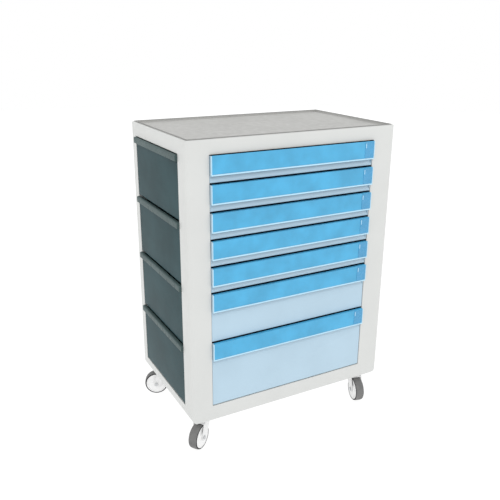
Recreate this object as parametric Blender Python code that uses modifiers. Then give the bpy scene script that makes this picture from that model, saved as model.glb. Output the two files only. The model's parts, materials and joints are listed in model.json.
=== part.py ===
"""Ward storage cart: a white cabinet on four swivel casters, with seven drawers in its front and four
tilt-out bins in its left side. Metres, +Z up, the front faces -Y. The origin is on the floor, below the
middle of the cart's outermost points."""

import math

import bmesh
import bpy
from mathutils import Matrix, Vector

# Carcass
WIDTH = 0.691
DEPTH = 0.425
CARCASS_HEIGHT = 0.853
CLEARANCE = 0.102  # floor to the underside of the carcass
LEFT_REACH = 0.0105  # how far the rear left wheel stands out past the left side
FRONT_REACH = 0.019  # how far the front right wheel stands out past the front
BASE_RAIL = 0.050  # the bands of the base and top frames below and above the drawers
TOP_RAIL = 0.042
LEFT_POST_WIDTH = 0.068
RIGHT_POST_WIDTH = 0.079
FRONT_POST_DEPTH = 0.052
REAR_POST_DEPTH = 0.0385
POST_WALL = 0.0015
CORNER_RADIUS = 0.010
PANEL_THICKNESS = 0.0015
PANEL_RECESS = 0.003  # side and rear panels lie behind the faces of the posts
FIT_GAP = 0.0003  # between pieces that touch
SLACK = 0.0005  # between the inner sheets and the posts
OVERCUT = 0.010  # how far a cutter runs past an open face
BITE = 0.0005  # how far joined solids run into each other

LEFT = (LEFT_REACH - WIDTH) / 2
RIGHT = LEFT + WIDTH
FRONT = (FRONT_REACH - DEPTH) / 2
BACK = FRONT + DEPTH
BOTTOM = CLEARANCE
TOP = BOTTOM + CARCASS_HEIGHT
OPENING_HALF = (WIDTH - LEFT_POST_WIDTH - RIGHT_POST_WIDTH) / 2
DRAWERS_X = LEFT + LEFT_POST_WIDTH + OPENING_HALF  # the middle of the drawers
OPENING_LOW = BOTTOM + BASE_RAIL
OPENING_HIGH = TOP - TOP_RAIL
SIDE_FRONT = FRONT + FRONT_POST_DEPTH  # the side openings, between a front and a rear post
SIDE_BACK = BACK - REAR_POST_DEPTH

# Top and base frames
RIM_WIDTH = 0.0105  # the frame's rim, which carries the lip of the worktop
LIP_INSET = 0.0065  # the lip stops short of the frame's outline
LIP_THICKNESS = 0.0015
WORKTOP_DROP = 0.0065  # from the lip down to the worktop's floor
WORKTOP_FLOOR = 0.003
WORKTOP_WALL = 0.0015
DECK_THICKNESS = 0.004
FRAME_WALL_X = 0.040  # the top frame's walls under the deck
FRAME_WALL_Y = 0.028
BASE_FLOOR = 0.004
BASE_EDGE_RADIUS = 0.006
BASE_CORNER_RADIUS = 0.026  # the base's lower corners, seen from the front

# Drawers, from the top down
DRAWER_PITCHES = (0.079, 0.079, 0.079, 0.079, 0.079, 0.154, 0.212)
DRAWER_GAP = 0.0045
SIDE_GAP = 0.0015
FRONT_SETBACK = 0.0015
FRONT_THICKNESS = 0.012
PULL_REACH = 0.010  # the pull stands this far out past the front of the carcass
PULL_HEIGHT = 0.054
PULL_WALL = 0.0025
GRIP_DEPTH = 0.008  # the panel is hollowed this deep behind the pull
SCOOP_HEIGHT = 0.016  # and the hollow runs out this far below it
LABEL_HEIGHT = 0.049
LABEL_SILL = 0.004  # below the label
LABEL_BORDER = 0.0025  # at its ends
LABEL_THICKNESS = 0.0016
LABEL_RECESS = 0.0022
TRAY_HALF_WIDTH = 0.260
TRAY_LENGTH = 0.370
TRAY_WALL = 0.0012
TRAY_RISE = 0.006  # the tray's floor above its drawer's lower limit
TRAY_HEADROOM = 0.0045  # from the tray's rim to the drawer's upper limit
FLANGE_REACH = 0.009
FLANGE_THICKNESS = 0.0015
FLANGE_DROP = 0.0005
RUNNER_WALL = 0.002
LEDGE_REACH = 0.0105
LEDGE_THICKNESS = 0.002

# Tilt-out bins, from the top down
BIN_PITCHES = (0.187, 0.187, 0.190, 0.203)
SIDE_NOTCH = 0.006  # the base frame is this much lower below them
BIN_HEAD_GAP = 0.003  # the shadow gap above each bin's lip
BIN_SETBACK = 0.0008
BIN_END_GAP = 0.001
BIN_DEPTH = 0.0577
BIN_BACK_HEIGHT = 0.150
BIN_WALL = 0.0022
BIN_HEEL_RADIUS = 0.004
BIN_PIVOT_IN = 0.009  # the hinge, in from the left side and up from the bin's lower limit
BIN_PIVOT_RISE = 0.013
BIN_FOOT = 0.0115  # from the hinge down to the bin's underside
BIN_TOE_RADIUS = 0.004
BIN_PIN_RADIUS = 0.003
BIN_HOLE_RADIUS = 0.0036
BIN_PIN_LENGTH = 0.005
LIP_REACH = 0.0075
LIP_HEIGHT = 0.018
LIP_WALL = 0.0025
BAY_SHEET = 0.002
BAY_SHELF_SETBACK = 0.012

# Casters
WHEEL_RADIUS = 0.040
HUB_RADIUS = 0.036
TRAIL = 0.023
LEFT_STEM_IN = 0.051  # the swivel axis, in from the carcass's sides
RIGHT_STEM_IN = 0.056
STEM_IN_Y = 0.044
AXLE_RADIUS = 0.004
KINGPIN_RADIUS = 0.005
AXLE_HEAD_RADIUS = 0.0065
AXLE_HEAD_THICKNESS = 0.003
LEG_INSIDE = 0.0165
LEG_THICKNESS = 0.003
LEG_FRONT = -0.015  # the leg's root, either side of the swivel axis
LEG_REAR = 0.019
LEG_END_HALF = 0.0115  # half the width of the leg's end, and how far it runs below the axle
LEG_END_RADIUS = 0.011
BRIDGE_FRONT = -0.016
BRIDGE_REAR = 0.020
CROWN_RADIUS = 0.023
CROWN_LOW = 0.085
CROWN_HIGH = 0.0946
BRIDGE_LOW = 0.0815
MOUNT_RADIUS = 0.027
MOUNT_NECK_RADIUS = 0.013
MOUNT_THICKNESS = 0.004
NECK_LOW = 0.095
KINGPIN_LOW = 0.0825
BOSS_RADIUS = 0.012
BOSS_HALF = 0.0155
WEB_RADIUS = 0.031
WEB_HALF = 0.012
RIM_RADIUS = 0.033
RIM_HALF = 0.014
# half of the tread's section: drop below the wheel's radius, distance from its middle
TREAD_CURVE = ((0.0025, 0.0145), (0.0010, 0.0120), (0.0, 0.0080))
# name, side (-1 left, 1 right), end (-1 front, 1 rear), direction in which the wheel trails, in degrees
CASTERS = (
    ("front_left", -1, -1, 216),
    ("front_right", 1, -1, -105),
    ("rear_left", -1, 1, 156),
    ("rear_right", 1, 1, 200),
)

ARC_STEPS = 4
ROUND_STEPS = 28
SMALL_ROUND_STEPS = 14
MERGE = 0.00001
FLAT_ANGLE = 0.01  # faces that meet at less than this are one flat face

# finish: colour, roughness, metallic, alpha
FINISHES = {
    "white_paint": ((0.80, 0.80, 0.79), 0.45, 0.0, 1.0),
    "grey_top": ((0.55, 0.55, 0.54), 0.50, 0.0, 1.0),
    "pale_blue": ((0.50, 0.68, 0.80), 0.40, 0.0, 1.0),
    "label_blue": ((0.09, 0.40, 0.75), 0.30, 0.0, 1.0),
    "tray_grey": ((0.72, 0.74, 0.75), 0.45, 0.0, 1.0),
    "inner_steel": ((0.45, 0.46, 0.47), 0.40, 0.8, 1.0),
    "bay_dark": ((0.05, 0.06, 0.065), 0.60, 0.0, 1.0),
    "smoked": ((0.06, 0.10, 0.11), 0.15, 0.0, 0.6),
    "fork_white": ((0.75, 0.75, 0.72), 0.40, 0.0, 1.0),
    "hub_white": ((0.82, 0.82, 0.82), 0.40, 0.0, 1.0),
    "tread_grey": ((0.20, 0.20, 0.20), 0.80, 0.0, 1.0),
    "zinc": ((0.60, 0.61, 0.62), 0.35, 1.0, 1.0),
}

# An outline's plane turned so that it is extruded along X, Y or Z
TURNS = {
    "X": Matrix(((0, 0, 1), (1, 0, 0), (0, 1, 0))),
    "Y": Matrix(((1, 0, 0), (0, 0, -1), (0, 1, 0))),
    "Z": Matrix.Identity(3),
}


def clear_scene():
    for thing in list(bpy.data.objects):
        bpy.data.objects.remove(thing)


def new_collection(name):
    made = bpy.data.collections.new(name)
    bpy.context.scene.collection.children.link(made)
    return made


def new_material(name, finish):
    colour, roughness, metallic, alpha = FINISHES[finish]
    made = bpy.data.materials.new(name)
    made.use_nodes = True
    shader = made.node_tree.nodes["Principled BSDF"]
    shader.inputs["Base Color"].default_value = (*colour, 1.0)
    shader.inputs["Roughness"].default_value = roughness
    shader.inputs["Metallic"].default_value = metallic
    shader.inputs["Alpha"].default_value = alpha
    return made


def add_object(name, mesh, finish, owner):
    """An object of the cart, or a cutter where it has no finish."""
    made = bpy.data.objects.new(name, mesh)
    made.parent = owner
    if finish is None:
        CUTTERS.objects.link(made)
        made.hide_render = True
        made.display_type = "WIRE"
    else:
        CART.objects.link(made)
        mesh.materials.append(new_material(f"{name} {finish}", finish))
    return made


def add_axis(name, position, turn=0.0, owner=None):
    """The empty that a moving body hangs on, on its joint's axis."""
    made = bpy.data.objects.new(name, None)
    made.empty_display_size = 0.03
    made.location = position
    made.rotation_euler.z = turn
    made.parent = owner
    CART.objects.link(made)
    return made


def boxes(name, corners, finish=None, owner=None):
    """Separate boxes in one object, each from its low to its high corner in the owner's frame."""
    middle = (Vector(corners[0][0]) + Vector(corners[0][1])) / 2
    shape = bmesh.new()
    for low, high in corners:
        size = Vector(high) - Vector(low)
        centre = (Vector(high) + Vector(low)) / 2 - middle
        place = Matrix.Translation(centre) @ Matrix.Diagonal((*size, 1.0))
        bmesh.ops.create_cube(shape, size=1.0, matrix=place)
    mesh = bpy.data.meshes.new(name)
    shape.to_mesh(mesh)
    shape.free()
    made = add_object(name, mesh, finish, owner)
    made.location = middle
    return made


def filleted(corners):
    """Outline through corners (x, y, radius), with an arc at each corner that has a radius."""
    points = []
    for i, (x, y, radius) in enumerate(corners):
        here = Vector((x, y))
        if radius == 0:
            points.append(here)
            continue
        back = (Vector(corners[i - 1][:2]) - here).normalized()
        ahead = (Vector(corners[(i + 1) % len(corners)][:2]) - here).normalized()
        half = back.angle(ahead) / 2
        centre = here + (back + ahead).normalized() * (radius / math.sin(half))
        spoke = here + back * (radius / math.tan(half)) - centre
        swing = math.copysign(math.pi - 2 * half, ahead.cross(back))
        for step in range(ARC_STEPS + 1):
            points.append(centre + Matrix.Rotation(swing * step / ARC_STEPS, 2) @ spoke)
    return points


def rectangle(low_x, high_x, low_y, high_y, radius=0.0):
    return filleted(
        [
            (low_x, low_y, radius),
            (high_x, low_y, radius),
            (high_x, high_y, radius),
            (low_x, high_y, radius),
        ]
    )


def prism(name, outline, low, high, axis="Z", finish=None, owner=None):
    """A flat outline made solid from low to high along an axis of the owner's frame."""
    curve = bpy.data.curves.new(name, "CURVE")
    curve.dimensions = "2D"
    curve.fill_mode = "BOTH"
    curve.extrude = (high - low) / 2
    spline = curve.splines.new("POLY")
    spline.points.add(len(outline) - 1)
    for point, (x, y) in zip(spline.points, outline):
        point.co = (x, y, 0.0, 1.0)
    spline.use_cyclic_u = True
    drawn = bpy.data.objects.new(name, curve)
    CUTTERS.objects.link(drawn)
    evaluated = drawn.evaluated_get(bpy.context.evaluated_depsgraph_get())
    mesh = bpy.data.meshes.new_from_object(evaluated)
    bpy.data.objects.remove(drawn)
    bpy.data.curves.remove(curve)
    mesh.name = name
    shape = bmesh.new()
    shape.from_mesh(mesh)
    bmesh.ops.remove_doubles(shape, verts=shape.verts, dist=MERGE)
    shape.to_mesh(mesh)
    shape.free()
    made = add_object(name, mesh, finish, owner)
    made.location = TURNS[axis] @ Vector((0.0, 0.0, (low + high) / 2))
    made.rotation_euler = TURNS[axis].to_euler()
    return made


def turned(name, profile, finish=None, owner=None, closed=False, steps=ROUND_STEPS):
    """A profile of (radius, height) points, top to bottom, turned about the owner's Z axis."""
    mesh = bpy.data.meshes.new(name)
    points = [(radius, 0.0, height) for radius, height in profile]
    edges = [(i, i + 1) for i in range(len(points) - 1)]
    if closed:
        edges.append((len(points) - 1, 0))
    mesh.from_pydata(points, edges, [])
    made = add_object(name, mesh, finish, owner)
    screw = made.modifiers.new("turn", "SCREW")
    screw.steps = steps
    screw.render_steps = steps
    screw.use_merge_vertices = True
    screw.merge_threshold = MERGE
    screw.use_smooth_shade = True
    return made


def cylinder(name, radius, low, high, owner, steps=SMALL_ROUND_STEPS):
    return turned(name, [(0, high), (radius, high), (radius, low), (0, low)], None, owner, steps=steps)


def lay_along_y(thing, x=0.0, z=0.0):
    """Lays a turned object's axis along the owner's Y axis."""
    thing.location = (x, 0.0, z)
    thing.rotation_euler = (math.radians(90), 0.0, 0.0)
    return thing


def combine(target, operand, operation):
    step = target.modifiers.new(operand.name, "BOOLEAN")
    step.operation = operation
    step.solver = "EXACT"
    step.object = operand


def cut(target, cutter):
    combine(target, cutter, "DIFFERENCE")


def join(target, piece):
    combine(target, piece, "UNION")


def round_underside(thing, radius):
    """Rounds the outer edges of a prism's lower face."""
    shape = bmesh.new()
    shape.from_mesh(thing.data)
    bmesh.ops.dissolve_limit(shape, angle_limit=FLAT_ANGLE, verts=shape.verts, edges=shape.edges)
    base = min(shape.faces, key=lambda face: face.calc_center_median().z)
    edges = base.edges[:]
    bmesh.ops.bevel(shape, geom=edges, offset=radius, segments=ARC_STEPS, profile=0.5, affect="EDGES")
    shape.to_mesh(thing.data)
    shape.free()


def inset_outline(inset):
    """The carcass's outline seen from above, drawn in by inset."""
    radius = max(CORNER_RADIUS - inset, 0.0)
    return rectangle(LEFT + inset, RIGHT - inset, FRONT + inset, BACK - inset, radius)


def make_base_frame():
    """Moulded base: a pan with a rounded underside, which carries the posts and the casters."""
    frame = prism("base_frame", inset_outline(0.0), BOTTOM, OPENING_LOW, finish="white_paint")
    round_underside(frame, BASE_EDGE_RADIUS)
    section = [
        (LEFT, BOTTOM, BASE_CORNER_RADIUS),
        (RIGHT, BOTTOM, BASE_CORNER_RADIUS),
        (RIGHT, OPENING_LOW + OVERCUT, 0),
        (LEFT, OPENING_LOW + OVERCUT, 0),
    ]
    shape = prism("base_corners", filleted(section), -BACK - OVERCUT, OVERCUT - FRONT, "Y")
    combine(frame, shape, "INTERSECT")
    inner = rectangle(LEFT + FRAME_WALL_X, RIGHT - FRAME_WALL_X, FRONT + FRAME_WALL_Y, BACK - FRAME_WALL_Y)
    cut(frame, prism("base_pan_cutter", inner, BOTTOM + BASE_FLOOR, OPENING_LOW + OVERCUT))
    notch_low = (LEFT - OVERCUT, SIDE_FRONT, OPENING_LOW - SIDE_NOTCH)
    notch_high = (LEFT + FRAME_WALL_X + OVERCUT, SIDE_BACK, OPENING_LOW + OVERCUT)
    cut(frame, boxes("base_notch_cutter", [(notch_low, notch_high)]))


def make_top_frame():
    """Moulded top: a rim and a deck that hold the worktop, and a band below them."""
    high = TOP - LIP_THICKNESS - FIT_GAP
    frame = prism("top_frame", inset_outline(0.0), OPENING_HIGH, high, finish="white_paint")
    seat = TOP - WORKTOP_DROP - WORKTOP_FLOOR - FIT_GAP
    cut(frame, prism("worktop_seat_cutter", inset_outline(RIM_WIDTH), seat, TOP + OVERCUT))
    inner = rectangle(LEFT + FRAME_WALL_X, RIGHT - FRAME_WALL_X, FRONT + FRAME_WALL_Y, BACK - FRAME_WALL_Y)
    cut(frame, prism("top_underside_cutter", inner, OPENING_HIGH - OVERCUT, seat - DECK_THICKNESS))


def make_worktop():
    """A shallow grey tray whose lip lies on the rim of the top frame."""
    lip_low = TOP - LIP_THICKNESS
    tray_low = TOP - WORKTOP_DROP - WORKTOP_FLOOR
    worktop = prism("worktop", inset_outline(LIP_INSET), lip_low, TOP, finish="grey_top")
    edge = RIM_WIDTH + FIT_GAP
    join(worktop, prism("worktop_pan", inset_outline(edge), tray_low, lip_low + BITE))
    inside = inset_outline(edge + WORKTOP_WALL)
    cut(worktop, prism("worktop_inside_cutter", inside, TOP - WORKTOP_DROP, TOP + OVERCUT))


def post_outline(side, end, inset=0.0):
    """A post's section with its outer corner rounded; side and end say which corner it stands at."""
    outer_x = (LEFT if side < 0 else RIGHT) - side * inset
    width = LEFT_POST_WIDTH if side < 0 else RIGHT_POST_WIDTH
    inner_x = outer_x - side * (width - 2 * inset)
    depth = FRONT_POST_DEPTH if end < 0 else REAR_POST_DEPTH
    outer_y = (FRONT if end < 0 else BACK) - end * inset
    inner_y = outer_y - end * (depth - 2 * inset)
    corners = [
        (outer_x, outer_y, CORNER_RADIUS - inset),
        (inner_x, outer_y, 0),
        (inner_x, inner_y, 0),
        (outer_x, inner_y, 0),
    ]
    return filleted(corners)


def make_posts():
    """Four hollow corner posts. The left ones carry the bins' hinge pins in holes in their inner walls."""
    low = OPENING_LOW + FIT_GAP
    high = OPENING_HIGH - FIT_GAP
    for name, side, end, _ in CASTERS:
        post = prism(f"post_{name}", post_outline(side, end), low, high, finish="white_paint")
        section = post_outline(side, end, POST_WALL)
        hollow = prism(f"post_{name}_hollow", section, low - OVERCUT, high + OVERCUT)
        cut(post, hollow)
        if side < 0:
            wall = SIDE_FRONT if end < 0 else SIDE_BACK
            for index, (bin_low, _) in enumerate(bin_limits(), start=1):
                reach = 2 * POST_WALL
                hole = cylinder(f"post_{name}_hole_{index}", BIN_HOLE_RADIUS, -reach, reach, None)
                hole.location = (LEFT + BIN_PIVOT_IN, wall, bin_low + BIN_PIVOT_RISE)
                hole.rotation_euler = (math.radians(90), 0.0, 0.0)
                cut(post, hole)


def make_panels():
    """The plain panels that close the right side and the rear."""
    low = OPENING_LOW + FIT_GAP
    high = OPENING_HIGH - FIT_GAP
    x = RIGHT - PANEL_RECESS
    y = BACK - PANEL_RECESS
    right = ((x - PANEL_THICKNESS, SIDE_FRONT + FIT_GAP, low), (x, SIDE_BACK - FIT_GAP, high))
    boxes("right_panel", [right], "white_paint")
    inner_left = LEFT + LEFT_POST_WIDTH + FIT_GAP
    inner_right = RIGHT - RIGHT_POST_WIDTH - FIT_GAP
    rear = ((inner_left, y - PANEL_THICKNESS, low), (inner_right, y, high))
    boxes("back_panel", [rear], "white_paint")


def limits(pitches):
    """The lower and upper limit of each space down an opening, from the top down."""
    high = OPENING_HIGH
    found = []
    for pitch in pitches:
        found.append((high - pitch, high))
        high -= pitch
    return found


def drawer_limits():
    return limits(DRAWER_PITCHES)


def bin_limits():
    return limits(BIN_PITCHES)


def make_runner_wall(name, side):
    """A sheet with two ledges for each drawer, between which the tray's flange slides."""
    inner = OPENING_HALF + SLACK
    sheet = (side * inner, side * (inner + RUNNER_WALL))
    front = SIDE_FRONT + SLACK
    back = SIDE_BACK - SLACK
    low = OPENING_LOW + FIT_GAP
    high = OPENING_HIGH - FIT_GAP
    wall = ((DRAWERS_X + min(sheet), front, low), (DRAWERS_X + max(sheet), back, high))
    made = boxes(name, [wall], "inner_steel")
    span = (side * (inner + RUNNER_WALL / 2), side * (inner - LEDGE_REACH))
    near = DRAWERS_X + min(span)
    far = DRAWERS_X + max(span)
    ledges = []
    for _, limit in drawer_limits():
        flange_high = limit - TRAY_HEADROOM - FLANGE_DROP
        flange_low = flange_high - FLANGE_THICKNESS
        for bottom in (flange_low - FIT_GAP - LEDGE_THICKNESS, flange_high + SLACK):
            ledges.append(((near, front, bottom), (far, back, bottom + LEDGE_THICKNESS)))
    join(made, boxes(f"{name}_ledges", ledges))


def make_tray(name, height, owner):
    """An open steel tray in the drawer's frame, with a flange along each side."""
    front = FRONT_SETBACK + FRONT_THICKNESS + FIT_GAP
    back = front + TRAY_LENGTH
    rim = height - TRAY_HEADROOM
    body = ((-TRAY_HALF_WIDTH, front, TRAY_RISE), (TRAY_HALF_WIDTH, back, rim))
    tray = boxes(name, [body], "tray_grey", owner)
    inside_x = TRAY_HALF_WIDTH - TRAY_WALL
    floor = TRAY_RISE + TRAY_WALL
    inside = ((-inside_x, front + TRAY_WALL, floor), (inside_x, back - TRAY_WALL, rim + OVERCUT))
    cut(tray, boxes(f"{name}_inside", [inside], owner=owner))
    flange_high = rim - FLANGE_DROP
    reach = TRAY_HALF_WIDTH + FLANGE_REACH
    root = TRAY_HALF_WIDTH - TRAY_WALL / 2
    flanges = []
    for near, far in ((-reach, -root), (root, reach)):
        low = (near, front, flange_high - FLANGE_THICKNESS)
        flanges.append((low, (far, back, flange_high)))
    join(tray, boxes(f"{name}_flanges", flanges, owner=owner))


def make_drawer_front(name, height, owner):
    """A moulded front whose upper part stands out as a full-width pull, hollow and open below for the
    fingers, with a recess for the label."""
    half = OPENING_HALF - SIDE_GAP
    low = DRAWER_GAP / 2
    high = height - DRAWER_GAP / 2
    back = FRONT_SETBACK + FRONT_THICKNESS
    panel = ((-half, FRONT_SETBACK, low), (half, back, high))
    front = boxes(name, [panel], "pale_blue", owner)
    pull = ((-half, -PULL_REACH, high - PULL_HEIGHT), (half, back - PULL_WALL, high))
    join(front, boxes(f"{name}_pull", [pull], owner=owner))
    skin = LABEL_RECESS + PULL_WALL - PULL_REACH
    pull_low = high - PULL_HEIGHT
    scoop = FRONT_SETBACK - BITE
    run_out = SCOOP_HEIGHT * (1 + BITE / GRIP_DEPTH)
    pocket = [
        (skin, pull_low - run_out),
        (skin, high - PULL_WALL),
        (FRONT_SETBACK + GRIP_DEPTH, high - PULL_WALL),
        (FRONT_SETBACK + GRIP_DEPTH, pull_low),
        (scoop, pull_low - run_out),
    ]
    end = half - PULL_WALL
    cut(front, prism(f"{name}_pocket", pocket, -end, end, "X", owner=owner))
    label_low = pull_low + LABEL_SILL
    seat = (
        (LABEL_BORDER - half, -PULL_REACH - OVERCUT, label_low),
        (half - LABEL_BORDER, LABEL_RECESS - PULL_REACH, label_low + LABEL_HEIGHT),
    )
    cut(front, boxes(f"{name}_label_seat", [seat], owner=owner))


def make_label_strip(name, height, owner):
    """The blue strip that lies in the recess of the pull."""
    half = OPENING_HALF - SIDE_GAP - LABEL_BORDER - FIT_GAP
    low = height - DRAWER_GAP / 2 - PULL_HEIGHT + LABEL_SILL + FIT_GAP
    back = LABEL_RECESS - PULL_REACH - FIT_GAP
    strip = ((-half, back - LABEL_THICKNESS, low), (half, back, low + LABEL_HEIGHT - 2 * FIT_GAP))
    boxes(name, [strip], "label_blue", owner)


def make_drawers():
    for index, (low, high) in enumerate(drawer_limits(), start=1):
        slide = add_axis(f"drawer_{index}_slide", (DRAWERS_X, FRONT, low))
        make_tray(f"drawer_tray_{index}", high - low, slide)
        make_drawer_front(f"drawer_front_{index}", high - low, slide)
        make_label_strip(f"label_strip_{index}", high - low, slide)


def make_bin(name, height, low):
    """A smoked tilt-out bin in the frame of its hinge, with a hooked lip and two hinge pins."""
    pivot = (LEFT + BIN_PIVOT_IN, (SIDE_FRONT + SIDE_BACK) / 2, low + BIN_PIVOT_RISE)
    hinge = add_axis(f"{name}_hinge", pivot)
    half = (SIDE_BACK - SIDE_FRONT) / 2 - BIN_END_GAP
    face = BIN_SETBACK - BIN_PIVOT_IN
    rear = face + BIN_DEPTH
    rim = height - BIN_HEAD_GAP - BIN_PIVOT_RISE
    rear_rim = BIN_BACK_HEIGHT - BIN_FOOT
    outer = [
        (face, -BIN_FOOT, BIN_TOE_RADIUS),
        (rear, -BIN_FOOT, BIN_HEEL_RADIUS),
        (rear, rear_rim, 0),
        (face, rim, 0),
    ]
    made = prism(name, filleted(outer), -half, half, "Y", "smoked", hinge)
    lip = ((-LIP_REACH - BIN_PIVOT_IN, -half, rim - LIP_HEIGHT), (face + BIN_WALL / 2, half, rim + BITE))
    join(made, boxes(f"{name}_lip", [lip], owner=hinge))
    inner = [
        (face + BIN_WALL, BIN_WALL - BIN_FOOT, BIN_TOE_RADIUS - BIN_WALL),
        (rear - BIN_WALL, BIN_WALL - BIN_FOOT, BIN_HEEL_RADIUS - BIN_WALL),
        (rear - BIN_WALL, rim + OVERCUT, 0),
        (face + BIN_WALL, rim + OVERCUT, 0),
    ]
    inside = half - BIN_WALL
    cut(made, prism(f"{name}_inside", filleted(inner), -inside, inside, "Y", owner=hinge))
    grip = half - LIP_WALL
    pocket_x = LIP_WALL - LIP_REACH - BIN_PIVOT_IN
    pocket = ((pocket_x, -grip, rim - LIP_HEIGHT - OVERCUT), (face, grip, rim - LIP_WALL))
    cut(made, boxes(f"{name}_grip", [pocket], owner=hinge))
    for end in (-1, 1):
        reach = (end * (half - BIN_WALL / 2), end * (half + BIN_PIN_LENGTH))
        pin = cylinder(f"{name}_pin_{end}", BIN_PIN_RADIUS, -max(reach), -min(reach), hinge)
        join(made, lay_along_y(pin))


def make_bin_bay():
    """The dark liner behind the bins: a sheet with a shelf between each bin and the next."""
    front = SIDE_FRONT + SLACK
    back = SIDE_BACK - SLACK
    low = OPENING_LOW + FIT_GAP
    high = OPENING_HIGH - FIT_GAP
    sheet_high = DRAWERS_X - OPENING_HALF - SLACK - RUNNER_WALL - SLACK
    sheet_low = sheet_high - BAY_SHEET
    bay = boxes("bin_bay", [((sheet_low, front, low), (sheet_high, back, high))], "bay_dark")
    root = sheet_high - BAY_SHEET / 2
    shelves = []
    for top, _ in bin_limits()[:-1]:
        shelves.append(((LEFT + BAY_SHELF_SETBACK, front, top - BAY_SHEET), (root, back, top)))
    join(bay, boxes("bin_bay_shelves", shelves))


def make_bins():
    make_bin_bay()
    for index, (low, high) in enumerate(bin_limits(), start=1):
        make_bin(f"bin_{index}", high - low, low)


def make_fork(name, owner):
    """A pressed fork: a round crown on a bridge, and two legs that end round the axle."""
    reach = LEG_INSIDE + LEG_THICKNESS
    crown = [
        (0, CROWN_HIGH),
        (CROWN_RADIUS, CROWN_HIGH),
        (CROWN_RADIUS, CROWN_LOW - 2 * BITE),
        (0, CROWN_LOW - 2 * BITE),
    ]
    fork = turned(name, crown, "fork_white", owner)
    bridge = ((BRIDGE_FRONT, BITE - reach, BRIDGE_LOW), (BRIDGE_REAR, reach - BITE, CROWN_LOW))
    join(fork, boxes(f"{name}_bridge", [bridge], owner=owner))
    leg_end = WHEEL_RADIUS - LEG_END_HALF
    leg = [
        (LEG_FRONT, CROWN_LOW - BITE, 0),
        (TRAIL - LEG_END_HALF, leg_end, LEG_END_RADIUS),
        (TRAIL + LEG_END_HALF, leg_end, LEG_END_RADIUS),
        (LEG_REAR, CROWN_LOW - BITE, 0),
    ]
    for side in (-1, 1):
        span = (side * LEG_INSIDE, side * reach)
        join(fork, prism(f"{name}_leg_{side}", filleted(leg), -max(span), -min(span), "Y", owner=owner))
    hole_reach = reach + OVERCUT
    axle_hole = cylinder(f"{name}_axle_hole", AXLE_RADIUS + FIT_GAP, -hole_reach, hole_reach, owner)
    cut(fork, lay_along_y(axle_hole, TRAIL, WHEEL_RADIUS))
    king_radius = KINGPIN_RADIUS + FIT_GAP
    cut(fork, cylinder(f"{name}_king_hole", king_radius, BRIDGE_LOW - OVERCUT, CROWN_HIGH + OVERCUT, owner))


def make_wheel(name, owner):
    """A white hub disc with a bore, and a rubber tread round it."""
    inner = HUB_RADIUS + FIT_GAP
    half_tread = [(inner, RIM_HALF), *((WHEEL_RADIUS - drop, height) for drop, height in TREAD_CURVE)]
    other_half = [(radius, -height) for radius, height in reversed(half_tread)]
    lay_along_y(turned(f"{name}_tyre", half_tread + other_half, "tread_grey", owner, closed=True))
    bore = AXLE_RADIUS + FIT_GAP
    half_disc = [
        (bore, BOSS_HALF),
        (BOSS_RADIUS, BOSS_HALF),
        (BOSS_RADIUS + 2 * BITE, WEB_HALF),
        (WEB_RADIUS, WEB_HALF),
        (RIM_RADIUS, RIM_HALF),
        (HUB_RADIUS, RIM_HALF),
    ]
    other_half = [(radius, -height) for radius, height in reversed(half_disc)]
    lay_along_y(turned(f"{name}_hub", half_disc + other_half, "hub_white", owner, closed=True))


def make_caster(name, side, end, trail_angle):
    stem_x = LEFT + LEFT_STEM_IN if side < 0 else RIGHT - RIGHT_STEM_IN
    stem_y = (FRONT if end < 0 else BACK) - end * STEM_IN_Y
    fixed = add_axis(f"{name}_stem", (stem_x, stem_y, 0.0))
    flange_high = BOTTOM - FIT_GAP
    flange_low = flange_high - MOUNT_THICKNESS
    mount = [
        (0, flange_high),
        (MOUNT_RADIUS, flange_high),
        (MOUNT_RADIUS, flange_low),
        (MOUNT_NECK_RADIUS, flange_low),
        (MOUNT_NECK_RADIUS, NECK_LOW),
        (KINGPIN_RADIUS, NECK_LOW),
        (KINGPIN_RADIUS, KINGPIN_LOW),
        (0, KINGPIN_LOW),
    ]
    turned(f"{name}_mount", mount, "zinc", fixed, steps=SMALL_ROUND_STEPS)
    swivel = add_axis(f"{name}_swivel", (stem_x, stem_y, 0.0), math.radians(trail_angle))
    make_fork(f"{name}_fork", swivel)
    head = LEG_INSIDE + LEG_THICKNESS + FIT_GAP
    half_axle = [
        (0, head + AXLE_HEAD_THICKNESS),
        (AXLE_HEAD_RADIUS, head + AXLE_HEAD_THICKNESS),
        (AXLE_HEAD_RADIUS, head),
        (AXLE_RADIUS, head),
    ]
    other_half = [(radius, -height) for radius, height in reversed(half_axle)]
    axle = turned(f"{name}_axle", half_axle + other_half, "zinc", swivel, steps=SMALL_ROUND_STEPS)
    lay_along_y(axle, TRAIL, WHEEL_RADIUS)
    spin = add_axis(f"{name}_spin", (TRAIL, 0.0, WHEEL_RADIUS), owner=swivel)
    make_wheel(name, spin)


clear_scene()
CART = new_collection("ward_storage_cart")
CUTTERS = new_collection("cutters")
make_base_frame()
make_top_frame()
make_worktop()
make_posts()
make_panels()
make_runner_wall("left_runner_wall", -1)
make_runner_wall("right_runner_wall", 1)
make_drawers()
make_bins()
for caster_name, caster_side, caster_end, trail in CASTERS:
    make_caster(f"{caster_name}_caster", caster_side, caster_end, trail)
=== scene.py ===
"""The looks of the ward storage cart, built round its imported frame: metres, +Z up, front towards -Y."""

import json
import math

import bmesh
import bpy
from mathutils import Matrix, Vector


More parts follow.
